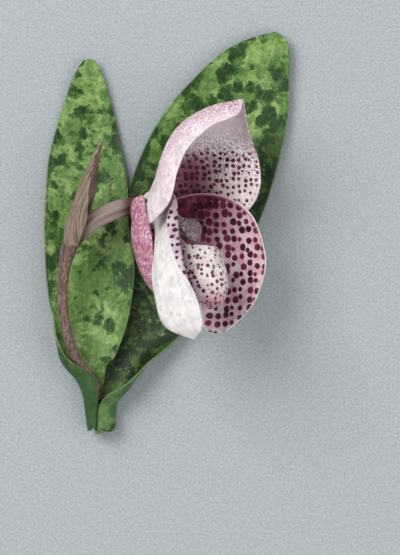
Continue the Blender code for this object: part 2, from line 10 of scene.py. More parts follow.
import bmesh
import bpy
import numpy as np
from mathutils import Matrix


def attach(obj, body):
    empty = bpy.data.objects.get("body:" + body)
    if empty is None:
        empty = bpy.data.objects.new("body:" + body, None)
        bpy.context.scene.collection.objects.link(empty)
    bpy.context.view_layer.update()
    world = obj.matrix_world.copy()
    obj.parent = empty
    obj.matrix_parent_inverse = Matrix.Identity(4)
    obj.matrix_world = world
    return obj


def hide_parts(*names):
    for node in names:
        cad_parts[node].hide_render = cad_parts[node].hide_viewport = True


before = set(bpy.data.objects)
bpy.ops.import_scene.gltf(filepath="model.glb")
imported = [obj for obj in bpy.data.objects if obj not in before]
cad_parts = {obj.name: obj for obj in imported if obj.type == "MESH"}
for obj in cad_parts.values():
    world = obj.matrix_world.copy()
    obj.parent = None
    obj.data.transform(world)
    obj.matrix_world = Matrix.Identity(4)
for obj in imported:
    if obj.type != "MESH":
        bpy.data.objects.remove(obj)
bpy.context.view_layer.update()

MM = 0.001
RANDOM_SEED = 7

# Thicknesses
LEAF_THICKNESS = 1.05
TEPAL_THICKNESS = 0.8
BRACT_THICKNESS = 0.7
POUCH_WALL = 0.9

# The flower: where its tepals meet, and how far it turns to the side, dips and rolls
FLOWER_CENTRE = np.array([-6.2, 7.4, 12.5])
FLOWER_TILT = math.radians(48)
FLOWER_DIP = -0.10
FLOWER_ROLL = math.radians(5)
# The near side in flower axes
NEAR_SIDE = np.array([0, 0, 1])

# Leaves: (share of the length, x, y, z) of the keel from the cut sheath to the tip
LEFT_KEEL = [
    (0, -21.6, -55.6, 4), (0.07, -22.6, -48.2, 4.1), (0.118, -23.1, -43.3, 4.3),
    (0.15, -23.9, -40, 4.2), (0.188, -24.9, -36, 3.9), (0.22, -24.2, -32.7, 3.5),
    (0.274, -22.5, -27, 3.2), (0.436, -21.6, -10, 2.6), (0.608, -21.5, 8, 1.8),
    (0.761, -21.5, 24, 0.4), (0.895, -21.8, 38, 1.4), (1, -21.7, 48.9, 3.2),
]
LEFT_FACE = [(0, 1, 0, 0), (0.07, 1, 0, 0.1), (0.095, 0.95, 0, 0.3), (0.118, 0.72, 0, 0.69),
             (0.15, 0.4, 0, 0.92), (0.188, 0.2, 0, 0.98), (0.22, 0.1, 0, 1), (0.45, 0, 0, 1),
             (0.7, -0.04, 0, 1), (1, 0.05, 0, 1)]
LEFT_HALF_WIDTHS = {
    "left": [(0, 3.1), (0.07, 4.8), (0.095, 6.6), (0.118, 7.8), (0.15, 9), (0.188, 10), (0.22, 10.4),
             (0.25, 10.1), (0.29, 10.4), (0.345, 11.5), (0.41, 12.4), (0.48, 12.8), (0.55, 13),
             (0.61, 12.8), (0.66, 12.4), (0.745, 11.4), (0.81, 9.6), (0.895, 6.5), (0.955, 4.2),
             (0.985, 2.4), (0.995, 1.5), (1, 0)],
    "right": [(0, 3.8), (0.09, 4.6), (0.14, 6.7), (0.195, 9.6), (0.27, 10.9), (0.36, 12.4), (0.434, 13),
              (0.5, 12.1), (0.566, 11), (0.657, 10.7), (0.721, 9.6), (0.777, 8.4), (0.838, 7.2),
              (0.895, 5.8), (0.955, 3.7), (0.985, 2.2), (0.995, 1.4), (1, 0)],
}
# Curl of each half: (share, total turn in degrees, how late across it the turn comes if not as usual)
USUAL_LATENESS = 0.75
LEFT_CURL = {
    "left": [(0, 88), (0.07, 92), (0.095, 110, 0.9), (0.118, 150, 0.8), (0.15, 185, 0.9),
             (0.188, 145, 1.4), (0.22, 100, 1.5), (0.25, 60, 1.3), (0.29, 34, 1), (0.4, 20), (0.6, 16),
             (0.85, 9), (1, 3)],
    "right": [(0, 88), (0.09, 82), (0.15, 54), (0.25, 36), (0.4, 26), (0.6, 20), (0.85, 10), (1, 3)],
}
# The torn cut at the base: (place across the leaf, share of the length missing there)
LEFT_CUT = [(-1, 0), (-0.5, 0.012), (-0.1, 0.004), (0.4, 0.014), (1, 0)]
RIGHT_KEEL = [
    (0, -14.5, -55.8, 4), (0.06, -14.6, -48.6, 3.8), (0.08, -14.1, -46.2, 3.2),
    (0.103, -13.3, -43.5, 2.8), (0.125, -12.4, -41, 2.8), (0.215, -8.3, -31, 1.9),
    (0.353, -1.1, -15.8, 0.9), (0.518, 5.9, 3.2, 0.8), (0.667, 12.5, 20.2, 0.5),
    (0.801, 19.5, 35.1, 1.1), (0.913, 25.8, 47.2, 2.2), (1, 31.9, 55.8, 3.6),
]
RIGHT_FACE = [(0, -1, 0, 0), (0.06, -1, 0, 0.12), (0.08, -0.85, 0, 0.5), (0.103, -0.6, 0.05, 0.8),
              (0.14, -0.35, 0.05, 0.93), (0.18, -0.22, 0, 0.97), (0.3, 0, 0, 1), (0.7, 0.02, 0, 1),
              (1, 0, 0, 1)]
RIGHT_HALF_WIDTHS = {
    "left": [(0, 6.4), (0.064, 6.3), (0.123, 6.9), (0.213, 9.8), (0.355, 15), (0.52, 18.7), (0.669, 18.7),
             (0.804, 15.2), (0.915, 9.3), (0.965, 4.9), (0.988, 2.5), (0.996, 1.5), (1, 0)],
    "right": [(0, 6.4), (0.06, 6.1), (0.08, 7.2), (0.103, 7.5), (0.14, 7.6), (0.178, 7.7), (0.235, 9.4),
              (0.28, 10.6), (0.355, 13), (0.43, 15.3), (0.52, 18), (0.669, 18.4), (0.804, 15.2),
              (0.915, 9.8), (0.965, 6.2), (0.988, 3.6), (0.996, 2.2), (1, 0)],
}
RIGHT_CURL = {
    "left": [(0, 95), (0.06, 88), (0.13, 36), (0.22, 10), (0.4, 0), (0.52, 2), (0.65, 9), (0.85, 11),
             (1, 3)],
    "right": [(0, 100), (0.06, 94), (0.08, 100, 1), (0.103, 110, 1.2), (0.14, 90, 1), (0.178, 72, 1),
              (0.235, 44, 0.9), (0.355, 24), (0.55, 14), (0.85, 12), (1, 3)],
}
RIGHT_CUT = [(-1, 0.012), (-0.4, 0.004), (0, 0.022), (0.35, 0.018), (0.6, 0.006), (0.8, 0.012), (1, 0)]

# The bract, a folded boat round the foot of the ovary
BRACT_KEEL = [(0, -28.4, -3.2, 14.9), (0.12, -28.2, 0.4, 15.5), (0.3, -26.9, 5.2, 16.2),
              (0.52, -24.6, 11.6, 17.1), (0.76, -21.4, 18.9, 18), (1, -17.8, 26.3, 18.8)]
BRACT_FACE = [(0, 0.95, -0.25, 0), (0.3, 0.95, -0.3, 0), (0.6, 0.93, -0.3, 0.2), (1, 0.9, -0.4, 0.3)]
BRACT_HALF_WIDTHS = dict.fromkeys(
    ("left", "right"), [(0, 4.9), (0.15, 6.6), (0.35, 7.6), (0.5, 6.9), (0.7, 4.6), (0.88, 1.9), (1, 0.1)])
BRACT_CURL = dict.fromkeys(("left", "right"), [(0, 105), (0.3, 80), (0.6, 66), (1, 40)])

# Tepals: (share of the length, forward, up, towards the near side) of the midrib and both margins, and
# (share, half the turn of the cross-section in degrees)
DORSAL = {
    "mid": [(0, 0.4, 2.5, 0), (0.12, 4, 6.3, 0), (0.27, 6.8, 12.5, 0), (0.43, 10.4, 18.8, 0),
            (0.6, 15.4, 24.8, 0), (0.81, 23.2, 30, 0), (1, 31.2, 32.9, 0)],
    "left": [(0, 0.4, 2, 2.2), (0.05, 5, 2, 4.4), (0.1, 10.6, -1, 6.2), (0.15, 12.9, -4.5, 11),
             (0.21, 19.4, -0.4, 13.6), (0.33, 22.7, 5.6, 14.2), (0.45, 22.1, 11, 13),
             (0.57, 24, 16.3, 12.8), (0.68, 27.2, 20.9, 12.2), (0.8, 30.1, 24.4, 10.2),
             (0.91, 32.5, 27.3, 5.8), (0.97, 32.8, 29.6, 2.4), (1, 31.2, 32.9, 0)],
    "right": [(0, 0.4, 2, -2.2), (0.1, 6.5, 1.8, -9), (0.2, 13.5, 1.2, -13.3), (0.3, 21.1, 0.9, -14.8),
              (0.45, 27.5, 4.8, -14), (0.57, 30, 10.1, -13.2), (0.7, 29.1, 16.4, -12),
              (0.82, 28.2, 21.7, -9.4), (0.92, 28.9, 27.1, -5), (1, 31.2, 32.9, 0)],
    "turn": [(0, 70), (1, 70)],
}
PETAL_FAR = {
    "mid": [(0, 0.6, -0.5, -2.1), (0.19, 7, -3.5, -6.2), (0.4, 11.8, -8.5, -11.6),
            (0.58, 15, -14.5, -15.5), (0.8, 21.5, -20.5, -17), (1, 27.6, -26.6, -16)],
    "left": [(0, 0.6, 0.5, -2), (0.12, 8, 3.4, -4), (0.25, 13.2, 5.6, -7), (0.4, 21.2, 5.5, -9.5),
             (0.55, 27.9, 2.4, -12), (0.67, 31.2, -3.5, -14.5), (0.78, 32.5, -10, -16.5),
             (0.88, 31.3, -17.1, -17.5), (0.96, 29.5, -23.2, -17), (1, 27.6, -26.6, -16)],
    "right": [(0, 0.6, -1.2, -2), (0.15, 7.5, -5.5, -4.2), (0.3, 13, -10, -6.6), (0.5, 15.5, -18, -7.8),
              (0.68, 18.5, -26, -8.5), (0.83, 18.9, -32.1, -12), (0.94, 23.7, -30.8, -14.8),
              (1, 27.6, -26.6, -16)],
    "turn": [(0, 60), (1, 60)],
}
PETAL_NEAR = {
    "mid": [(0, 0.6, -0.5, 2.1), (0.16, 8.6, -3.3, 3.6), (0.37, 15.5, -9, 9.2), (0.54, 19, -16.5, 12.6),
            (0.69, 22.5, -24, 13), (0.84, 25.5, -31, 11.5), (1, 32.2, -34.5, 8)],
    "left": [(0, 0.6, -1.2, 2), (0.15, 8.4, -4.6, 3.2), (0.25, 12.4, -8, 6), (0.35, 14.8, -12, 7.8),
             (0.6, 18, -21, 8.8), (0.85, 24, -30, 9), (1, 32.2, -34.5, 8)],
    "right": [(0, 0.6, 0.5, 2), (0.1, 8.5, 2.8, 3.4), (0.22, 17.5, 4.9, 6.6), (0.38, 24, 0.1, 10.4),
              (0.52, 29.7, -7, 13.6), (0.66, 33.4, -14.3, 14.2), (0.78, 35.9, -20.5, 13.6),
              (0.88, 37.4, -26.4, 12), (0.95, 36.5, -31.4, 10), (1, 32.2, -34.5, 8)],
    "turn": [(0, 60), (1, 75)],
    "roll": [(0, 0), (0.2, 1), (0.33, 3), (0.42, 4.8), (0.6, 4.8), (0.8, 1.5), (1, 0)],
}
SYNSEPAL = {
    "mid": [(0, 0.2, -2.5, 0), (0.18, -1.2, -7, 0), (0.41, 0, -13, 0), (0.7, 4.2, -19.5, 0),
            (1, 10.5, -24.5, 0)],
    "left": [(0, 0.1, -2.3, -2), (0.1, 0.4, -0.2, -5.8), (0.22, 2.5, -1.5, -7), (0.36, 4.6, -4, -7.6),
             (0.5, 5.8, -8, -7.8), (0.65, 7, -13.5, -7.8), (0.8, 8.8, -19, -6.4), (0.92, 10, -23, -3.4),
             (1, 10.5, -24.5, 0)],
    "right": [(0, 0.1, -2.3, 2), (0.1, 1, 0.9, 6.2), (0.2, 4.4, 3, 6.8), (0.29, 6, 2.2, 7.1),
              (0.38, 6.9, 0.2, 7.4), (0.5, 9.3, -5, 7.1), (0.65, 11.6, -12, 6.8), (0.8, 12.2, -18, 6.2),
              (0.92, 11.5, -22.5, 3.4), (1, 10.5, -24.5, 0)],
    "turn": [(0, 70), (0.25, 100), (0.6, 105), (1, 80)],
}
# The near petal's front margin rolls back this way in the plant's frame, from this place across
ROLL_WAY = np.array([-1, 0, 0.03])
ROLL_FROM = 0.72

# The pouch of the lip, in flower axes: an egg whose mouth faces back up to the column; its sizes are half
# its length, width and depth
POUCH_CENTRE = (24.4, -14.7, 0)
POUCH_TOE_WAY = (8.5, -12.5, 0)
POUCH_SIZES = (12.3, 6.8, 5.9)
POUCH_RIM_ANGLE = 124
POUCH_RIM_SLANT = 16
POUCH_RIM_OVERSHOOT = 1.012
CLAW = {
    "mid": [(0, 1.5, -2.1, 0), (0.5, 8.2, -5.9, 0), (1, 16.6, -11.1, 0)],
    "left": [(0, 1.5, -2.1, 0.9), (0.5, 8.3, -5.8, 1.6), (1, 16.6, -10.9, 3.2)],
    "right": [(0, 1.5, -2.1, -0.9), (0.5, 8.3, -5.8, -1.6), (1, 16.6, -10.9, -3.2)],
    "turn": [(0, 30), (1, 30)],
}

# Stems: (x, y, z, radius) from the foot up
SCAPE = [(-19, -46.9, 4.2, 1.1), (-19.6, -43.8, 5.2, 1.25), (-21.6, -39.7, 6.6, 1.3),
         (-24.7, -36, 7.8, 1.35), (-27.2, -29.5, 10.4, 1.4), (-28.9, -21.4, 12, 1.4),
         (-28.8, -13, 13.2, 1.5), (-28.1, -8, 14.2, 1.75), (-27.2, -4, 15, 2.3), (-26.6, -2.2, 15.4, 2)]
OVARY = [(-26.4, -3.7, 14.9, 1.5), (-24.6, -0.8, 15.5, 2), (-22.1, 2, 15.8, 2.35), (-19.3, 4.1, 15.6, 2.5),
         (-16, 5.7, 14.8, 2.6), (-12.6, 6.9, 13.2, 2.55), (-9.2, 7.6, 11.4, 2.3)]
# The ovary's upper end: (forward from the flower's centre, radius)
OVARY_END = [(-1.7, 2), (-0.4, 1.9)]
OVARY_RIBS = 6
OVARY_RIB_DEPTH = 0.09
SHOOT = [(-19.1, -56, 4.05, 1.1), (-19.1, -50, 4.05, 1.15), (-19, -47.65, 4.1, 1.1)]
# Hairs: how many, and their length; how they lean, and the share of the radius at their roots
SCAPE_HAIRS = (700, 0.5)
OVARY_HAIRS = (600, 0.45)
HAIR_HALF_WIDTH = 0.035
HAIR_LEAN = 0.25
HAIR_ROOT = 0.96
HAIR_FACES = ((0, 1, 3), (1, 2, 3), (2, 0, 3), (2, 1, 0))

# The column, its stigma, its two anthers and the staminode, in flower axes; sizes are half sizes
COLUMN = [(0.3, 0, 0, 1.2), (4, -0.4, 0, 1.4), (8, -1.3, 0, 1.7), (12, -2.6, 0, 1.8), (15.2, -4.2, 0, 1.2)]
ANTHER_AT = (11.5, -2.8, 1.9)
ANTHER_RADIUS = 1.2
STIGMA_AT = (14.6, -5.6, 0)
STIGMA_SIZES = (1.9, 1, 1.9)
STAMINODE_AT = (18.3, -4.5, 0)
STAMINODE_SIZES = (4.6, 4.3, 1)
STAMINODE_LOBE = 0.18
STAMINODE_FURROW = 0.5
STAMINODE_SLOPE = (0.6, -0.8, 0)

# Fine relief: a leaf's keel groove and the waves of its margins, a tepal's ribs and the ripples of margins;
# rates are in radians along a whole length or half a width
GROOVE_DEPTH = 0.25
GROOVE_REACH = 0.05
LEAF_WAVE = 0.25
WAVE_RATE = 31
WAVE_SHIFT = 1.3
RIB_HEIGHT = 0.05
RIB_RATE = 26
RIPPLE_RATE = 27
BRACT_RIPPLE = 0.1
SYNSEPAL_RIPPLE = 0.1
TEPAL_RIPPLE = 0.15

# Meshes: rows and columns of a sheet, rings and sides of a stem or body
LEAF_GRID = (150, 56)
BRACT_GRID = (70, 40)
TEPAL_GRID = (110, 60)
CLAW_GRID = (30, 16)
SHOOT_GRID = (14, 32)
SCAPE_GRID = (90, 32)
OVARY_GRID = (80, 96)
COLUMN_GRID = (40, 40)
POUCH_GRID = (72, 96)
STAMINODE_GRID = (40, 96)
BALL_GRID = (24, 32)
WELD_REACH = 0.000002
# Sheets: rows crowd towards the tip and columns towards the margins, which are thinner than the middle
SHEET_END = 0.998
TIP_CROWDING = 1.5
MARGIN_CROWDING = 0.72
MARGIN_THICKNESS = 0.45
TIP_THICKNESS = 0.5
TIP_LENGTH = 0.04
# Steps along the arc of half a section, and the share of a keel that its direction is averaged over
ARC_STEPS = 12
KEEL_REACH = 0.035

# Where each leaf is blotched (dark along it, sides across it) and darkened by painted shade (shade along
# it, margin_shade along its right margin): (share of its length, or place across from 0 to 1, amount)
LEFT_LOOK = {
    "dark": [(0, 0.2), (0.25, 0.25), (0.35, 0.44), (0.6, 0.36), (0.78, 0.5), (0.86, 0.42), (0.94, 0.2),
             (1, 0)],
    "sides": [(0, 0.25), (0.12, 0.12), (0.25, 0), (0.6, 0), (0.8, 0.08), (1, 0.1)],
    "shade": [(0, 0.5), (0.14, 0.35), (0.24, 0), (1, 0)],
    "margin_shade": [(0, 0), (1, 0)],
}
RIGHT_LOOK = {
    "dark": [(0, 0.3), (0.3, 0.5), (0.6, 0.46), (0.85, 0.5), (0.93, 0.35), (1, 0.1)],
    "sides": [(0, 0.3), (0.2, 0.15), (0.35, -0.1), (0.6, -0.1), (0.85, 0.2), (0.95, 0.1), (1, -0.2)],
    "shade": [(0, 0.3), (0.07, 0.3), (0.12, 1), (0.42, 1), (0.55, 0.6), (0.66, 0.15), (0.78, 0)],
    "margin_shade": [(0, 0), (0.4, 0.9), (0.72, 0.9), (0.84, 0)],
}
# The backs: (how much, darker green, lighter green)
LEFT_BACK = (0.85, (0.012, 0.045, 0.012, 1), (0.05, 0.13, 0.035, 1))
RIGHT_BACK = (0.5, (0.06, 0.14, 0.035, 1), (0.17, 0.3, 0.1, 1))

# How far the flat patterns of the flower lean with height
PLAN_SLANT = 0.2
# Where marks fade in, from none to full: y for the dorsal sepal's spots and specks, x for its maroon flush,
# for the pouch's shaded side and for the two ends of the ovary's pale middle
DORSAL_SPOTS = (26.5, 20.0)
DORSAL_SPECKS = (33.0, 24.0)
DORSAL_SPECKS_LOW = (13.0, 20.0)
DORSAL_FLUSH = (18.0, 7.0)
POUCH_SHADE = (7.2, 3.4)
OVARY_PALE_FOOT = (-24.0, -20.5)
OVARY_PALE_HEAD = (-10.5, -13.5)

# The stage: the floor in millimetres, the rest in metres
FLOOR_CORNERS = ((-6000, -6000), (6000, -6000), (6000, 6000), (-6000, 6000))
FLOOR_DROP = 0.05
FLOOR_DARK = (0.32, 0.36, 0.375, 1)
FLOOR_LIGHT = (0.48, 0.51, 0.515, 1)
# Lights: name, place, diameter, power
LIGHTS = (("key_light", (-0.55, 0.45, 0.9), 0.7, 9.0), ("fill_light", (0.7, -0.2, 0.8), 0.9, 3.0))
LIGHTS_AIM = (0, 0, 0.02)
WORLD_COLOUR = (0.93, 0.96, 1.0, 1)
WORLD_STRENGTH = 0.55
# The picture's size and the plant's axis in it, in pixels, and a pixel's size on the floor
PICTURE_WIDE = 400
PICTURE_HIGH = 555
AXIS_PIXEL = (167, 233.5)
PIXEL = 0.00028
CAMERA_HEIGHT = 2.4
CAMERA_REACH = 50.0
SENSOR_HEIGHT = 24.0


def unit(v):
    """Vectors at length one."""
    return v / np.linalg.norm(v, axis=-1, keepdims=True)


def flower_axes():
    """Forward, up and near-side unit vectors of the flower."""
    forward = unit(np.array([math.sin(FLOWER_TILT), FLOWER_DIP, math.cos(FLOWER_TILT)]))
    up = np.array([0, 1, 0])
    up = unit(up - (up @ forward) * forward)
    near = np.cross(forward, up)
    c, s = math.cos(FLOWER_ROLL), math.sin(FLOWER_ROLL)
    return forward, c * up - s * near, c * near + s * up


FLOWER_MATRIX = np.array(flower_axes())


def in_flower(points):
    """Flower coordinates to the plant's frame."""
    return FLOWER_CENTRE + np.asarray(points, float) @ FLOWER_MATRIX


def through(stations, t):
    """A smooth curve through (share, value, ...) stations, read at the shares t."""
    table = np.array(stations, float)
    at, value = table[:, 0], table[:, 1:]
    step = np.diff(at)
    slope = np.diff(value, axis=0) / step[:, None]
    tangent = np.empty_like(value)
    tangent[0], tangent[-1] = slope[0], slope[-1]
    before, after = step[:-1, None], step[1:, None]
    tangent[1:-1] = (slope[:-1] * after + slope[1:] * before) / (before + after)
    i = np.clip(np.searchsorted(at, t, side="right") - 1, 0, len(step) - 1)
    x = ((t - at[i]) / step[i])[..., None]
    h = step[i][..., None]
    return ((2 * x**3 - 3 * x**2 + 1) * value[i] + (x**3 - 2 * x**2 + x) * h * tangent[i]
            + (3 * x**2 - 2 * x**3) * value[i + 1] + (x**3 - x**2) * h * tangent[i + 1])


def blade_surface(keel, face, half_widths, curl, t, v):
    """Middle surface of a leaf: t runs from the base to the tip, v from -1 (left) to 1 (right)."""
    ahead = through(keel, np.minimum(t + KEEL_REACH, 1))
    along = unit(ahead - through(keel, np.maximum(t - KEEL_REACH, 0)))
    normal = through(face, t)
    normal = unit(normal - (normal * along).sum(-1, keepdims=True) * along)
    across = np.cross(along, normal)
    q = np.abs(v)
    left = (v < 0)[..., None]
    width = np.where(left, through(half_widths["left"], t), through(half_widths["right"], t))[..., 0]
    curls = [through([(*row, USUAL_LATENESS)[:3] for row in curl[side]], t) for side in ("left", "right")]
    turn, late = np.moveaxis(np.where(left, *curls), -1, 0)
    out = np.zeros_like(q)
    rise = np.zeros_like(q)
    for k in range(ARC_STEPS):
        angle = np.radians(turn) * ((k + 0.5) / ARC_STEPS * q) ** late
        out += np.cos(angle) * q * width / ARC_STEPS
        rise += np.sin(angle) * q * width / ARC_STEPS
    out = np.where(v < 0, -out, out)
    return through(keel, t) + out[..., None] * across + rise[..., None] * normal


def tepal_surface(sheet, t, v):
    """Middle surface of a tepal, bowed between its two margins and its midrib."""
    mid = in_flower(through(sheet["mid"], t))
    left = in_flower(through(sheet["left"], t))
    right = in_flower(through(sheet["right"], t))
    turn = np.radians(through(sheet["turn"], t))
    v = v[..., None]
    surface = mid + np.sin(v * turn) / np.sin(turn) * (right - left) / 2
    surface = surface + (1 - np.cos(v * turn)) / (1 - np.cos(turn)) * ((right + left) / 2 - mid)
    if "roll" in sheet:
        rolled = clipped((v - ROLL_FROM) / (1 - ROLL_FROM)) ** 2
        surface = surface + rolled * through(sheet["roll"], t) * ROLL_WAY
    return surface


def clipped(value):
    """A number kept between 0 and 1."""
    return np.clip(value, 0, 1)


def grid_normals(points):
    """Unit normals of a grid of points, rows by columns."""
    rows, columns = np.gradient(points, axis=0), np.gradient(points, axis=1)
    normal = np.cross(rows, columns)
    length = np.linalg.norm(normal, axis=-1, keepdims=True)
    return normal / np.maximum(length, 1e-9)


def lengths_along(points, axis):
    """Running length of grid lines along one axis, zero at the start."""
    step = np.diff(points, axis=axis, prepend=points.take([0], axis))
    return np.cumsum(np.linalg.norm(step, axis=-1), axis=axis)


def add_uv(mesh, name, values):
    """A UV map from one (u, v) pair for each vertex."""
    layer = mesh.uv_layers.new(name=name)
    corner = np.empty(len(mesh.loops), np.int32)
    mesh.loops.foreach_get("vertex_index", corner)
    layer.data.foreach_set("uv", values[corner].astype(np.float32).ravel())


def piece(name, points, faces, materials, face_slots=None):
    """A smooth shaded mesh object from points in millimetres."""
    mesh = bpy.data.meshes.new(name)
    mesh.from_pydata((points * MM).tolist(), [], faces)
    for material in materials:
        mesh.materials.append(material)
    if face_slots is not None:
        mesh.polygons.foreach_set("material_index", face_slots)
    mesh.shade_smooth()
    return link(name, mesh)


def link(name, data):
    """A new object in the scene."""
    obj = bpy.data.objects.new(name, data)
    bpy.context.scene.collection.objects.link(obj)
    return obj


def dress(obj, node=None):
    """Let a piece ride on the plant, and stand for a node if one is named."""
    if node:
        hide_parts(node)
    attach(obj, "root")


def sheet_faces(rows, columns):
    """Faces of a closed sheet: its first side, its second side and the edge that joins them."""
    count = (rows + 1) * (columns + 1)
    index = np.arange(count).reshape(rows + 1, columns + 1)
    corners = (index[:-1, :-1], index[:-1, 1:], index[1:, 1:], index[1:, :-1])
    second = np.stack(corners, axis=-1).reshape(-1, 4)
    first = second[:, [0, 3, 2, 1]]
    loop = np.concatenate([index[0, :], index[1:, -1], index[-1, -2::-1], index[-2:0:-1, 0]])
    after = np.roll(loop, -1)
    return first, second + count, np.stack([loop, after, after + count, loop + count], axis=1)


def sheet_piece(name, surface, grid, thickness, materials, relief=None, floor=False):
    """A thin closed sheet; materials are for its first side, its second side and, last, its edge."""
    rows, columns = grid
    share = SHEET_END * (1 - (1 - np.linspace(0, 1, rows + 1)) ** TIP_CROWDING)
    reach = MARGIN_CROWDING * math.pi / 2
    place = np.sin(np.linspace(-1, 1, columns + 1) * reach) / math.sin(reach)
    t, v = np.meshgrid(share, place, indexing="ij")
    middle = surface(t, v)
    normal = grid_normals(middle)
    if relief is not None:
        middle = middle + normal * relief(t, v)[..., None]
        normal = grid_normals(middle)
    half = thickness / 2 * (MARGIN_THICKNESS + (1 - MARGIN_THICKNESS) * (1 - np.abs(v) ** 6))
    half = half * (TIP_THICKNESS + (1 - TIP_THICKNESS) * clipped((1 - t) / TIP_LENGTH))
    sides = [middle + normal * half[..., None], middle - normal * half[..., None]]
    points = np.concatenate(sides).reshape(-1, 3)
    if floor:
        points[:, 2] = np.maximum(points[:, 2], 0.0)
    faces = sheet_faces(rows, columns)
    slots = np.repeat([0, 1, len(materials) - 1], [len(part) for part in faces]).astype(np.int32)
    obj = piece(name, points, np.concatenate(faces).tolist(), materials, slots)
    across = lengths_along(middle, 1)
    across = across - across[:, columns // 2][:, None]
    for layer, u, w in (("share", (v + 1) / 2, t), ("size", across, lengths_along(middle, 0))):
        add_uv(obj.data, layer, np.tile(np.stack([u.ravel(), w.ravel()], axis=1), (2, 1)))
    return obj


class Look:
    """A procedural material under construction."""

    def __init__(self, name, roughness):
        self.material = bpy.data.materials.new(name)
        self.material.use_nodes = True
        self.tree = self.material.node_tree
        self.shader = self.tree.nodes["Principled BSDF"]
        self.shader.inputs["Roughness"].default_value = roughness

    def node(self, kind, sockets=None, **settings):
        """A new node with its attributes set and its inputs fed."""
        made = self.tree.nodes.new(kind)
        for key, value in settings.items():
            setattr(made, key, value)
        for key, value in (sockets or {}).items():
            self.feed(made.inputs[key], value)
        return made

    def feed(self, socket, value):
        """Link a socket, or set a plain value."""
        if isinstance(value, bpy.types.NodeSocket):
            self.tree.links.new(value, socket)
        else:
            socket.default_value = value

    def uv(self, name):
        """A UV map by name."""
        return self.node("ShaderNodeUVMap", uv_map=name).outputs["UV"]

    def shares(self):
        """The place across a sheet, from 0 to 1, and the share along it."""
        return self.split(self.uv("share"))[:2]

    def place(self):
        """The point on the object, in millimetres."""
        point = self.node("ShaderNodeTexCoord").outputs["Object"]
        return self.node("ShaderNodeVectorMath", {0: point, "Scale": 1 / MM}, operation="SCALE").outputs[0]

    def split(self, vector):
        """The x, y and z of a vector."""
        return tuple(self.node("ShaderNodeSeparateXYZ", {0: vector}).outputs)

    def scaled(self, vector, x, y, z=1.0):
        """A vector stretched along its axes."""
        return self.node("ShaderNodeVectorMath", {0: vector, 1: (x, y, z)}, operation="MULTIPLY").outputs[0]

    def plan(self, vector):
        """A point's place in a slanted plan of the flower, for flat patterns."""
        x, y, z = self.split(vector)
        slanted = self.plus(x, self.times(z, PLAN_SLANT))
        return self.node("ShaderNodeCombineXYZ", {0: slanted, 1: y}).outputs[0]

    def math(self, operation, a, b=0.0, clamp=False):
        """One arithmetic step."""
        return self.node("ShaderNodeMath", {0: a, 1: b}, operation=operation, use_clamp=clamp).outputs[0]

    def times(self, a, b, clamp=False):
        """A product."""
        return self.math("MULTIPLY", a, b, clamp)

    def plus(self, a, b, clamp=False):
        """A sum."""
        return self.math("ADD", a, b, clamp)

    def step(self, value, low, high):
        """A smooth step from 0 at low to 1 at high."""
        sockets = {"Value": value, "From Min": low, "From Max": high}
        return self.node("ShaderNodeMapRange", sockets, interpolation_type="SMOOTHSTEP").outputs["Result"]

    def ramp(self, value, stops):
        """Numbers read off a line through (position, number) stops."""
        made = self.node("ShaderNodeValToRGB", {0: value})
        line = made.color_ramp
        while len(line.elements) < len(stops):
            line.elements.new(0.5)
        for element, (position, number) in zip(line.elements, stops):
            element.position = position
            element.color = (number, number, number, 1)
        return made.outputs["Color"]

    def noise(self, vector, scale, detail=4.0, roughness=0.6, output=0):
        """Soft noise, about 0.5 on average."""
        sockets = {"Vector": vector, "Scale": scale, "Detail": detail, "Roughness": roughness}
        return self.node("ShaderNodeTexNoise", sockets).outputs[output]

    def mix(self, factor, a, b):
        """A blend of two colours."""
        return self.node("ShaderNodeMix", {0: factor, 6: a, 7: b}, data_type="RGBA").outputs[2]

    def ground(self, value, dark, light, low=0.3, high=0.7):
        """Start from two shades, mottled by a value that runs from low to high."""
        self.colour = self.mix(self.step(value, low, high), dark, light)

    def cover(self, mask, colour):
        """Cover the look's colour with another one where the mask is."""
        self.colour = self.mix(mask, self.colour, colour)

    def paint(self, mask, amount, colour):
        """Cover the look's colour as strongly as the amount says."""
        self.cover(self.times(mask, amount), colour)

    def wobble(self, vector, amount, scale):
        """A vector pushed about by noise."""
        push = self.noise(vector, scale, 2.0, 0.5, "Color")
        for operation, value in (("SUBTRACT", (0.5, 0.5, 0.5)), ("MULTIPLY", (amount, amount, amount)),
                                 ("ADD", vector)):
            push = self.node("ShaderNodeVectorMath", {0: push, 1: value}, operation=operation).outputs[0]
        return push

    def dots(self, vector, spacing, radius, edge, randomness=1.0, space="3D"):
        """A mask of round dots in a plan (2D) or in space; radius may be a socket."""
        sockets = {"Vector": vector, "Scale": 1 / spacing, "Randomness": randomness}
        cells = self.node("ShaderNodeTexVoronoi", sockets, voronoi_dimensions=space)
        chance = self.split(cells.outputs["Color"])[0]
        size = self.times(radius, self.plus(0.72, self.times(chance, 0.5)))
        reach = self.math("DIVIDE", size, spacing)
        low = self.plus(reach, edge / spacing)
        high = self.math("SUBTRACT", reach, edge / spacing)
        return self.step(cells.outputs["Distance"], low, high)

    def finish(self, height, bump=0.0003, strength=0.4):
        """Feed the colour and the fine relief, bump metres high."""
        sockets = {"Strength": strength, "Distance": bump, "Height": height}
        self.feed(self.shader.inputs["Base Color"], self.colour)
        self.feed(self.shader.inputs["Normal"], self.node("ShaderNodeBump", sockets).outputs[0])
        return self.material


def rgb(red, green, blue):
    """A colour given as screen values from 0 to 255, as linear light."""
    def linear(channel):
        channel = channel / 255
        return channel / 12.92 if channel <= 0.04045 else ((channel + 0.055) / 1.055) ** 2.4
    return (linear(red), linear(green), linear(blue), 1.0)


